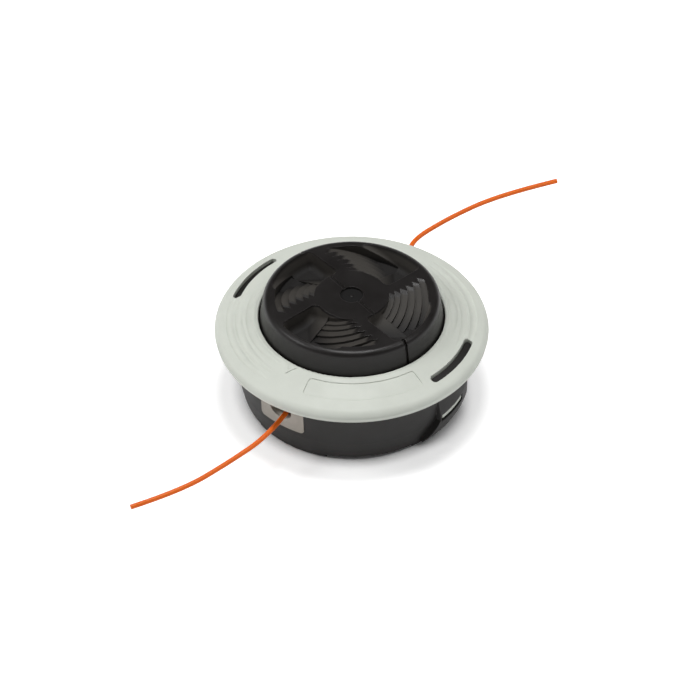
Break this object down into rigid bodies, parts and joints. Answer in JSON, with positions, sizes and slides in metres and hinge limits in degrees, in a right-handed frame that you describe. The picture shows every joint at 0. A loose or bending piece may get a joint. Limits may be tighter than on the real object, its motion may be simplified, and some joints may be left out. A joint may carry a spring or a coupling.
{
  "type": "bump feed trimmer head",
  "caption": "Round bump feed string trimmer head: moulded cup, pale deflector cover, ribbed bump knob on a sprung line spool, metal line eyelets and short free line ends.",
  "frame": {"origin": "on the turning axis in the plane of the feet, which is the drive side", "axes": "+Z along the turning axis towards the bump knob; front eyelet on -Y, rear eyelet on +Y; latches near +X and -X"},
  "size_m": [0.13, 0.2987, 0.0577],
  "materials": {
    "housing_black": "black glass-filled nylon, fine moulded texture",
    "knob_black": "black nylon, satin moulded",
    "spool_black": "black nylon, satin moulded",
    "cover_grey": "pale grey nylon, fine moulded texture",
    "line_orange": "extruded orange nylon line",
    "eyelet_metal": "sintered steel, tumbled",
    "zinc_steel": "turned steel, zinc plated",
    "spring_steel": "drawn spring wire"
  },
  "bodies": {
    "head": {"housing": "housing_black", "threaded_insert": "zinc_steel", "spring": "spring_steel", "eyelet_front": "eyelet_metal", "eyelet_rear": "eyelet_metal", "cover": "cover_grey", "line_tail_front": "line_orange", "line_tail_rear": "line_orange"},
    "lift": {"thrust_washer": "zinc_steel"},
    "spool_and_knob": {"spool": "spool_black", "bump_knob": "knob_black", "wound_line_lower": "line_orange", "wound_line_upper": "line_orange"}
  },
  "joints": [
    {"name": "bump_travel", "type": "slide", "parent": "head", "child": "lift", "axis": [0, 0, -1], "range_m": [0, 0.006], "stiffness_N_per_m": 1500, "springref_m": -0.01, "deforming": ["spring"]},
    {"name": "spool_turn", "type": "hinge", "parent": "lift", "child": "spool_and_knob", "pos_m": [0, 0, 0.03], "axis": [0, 0, 1], "continuous": true}
  ]
}
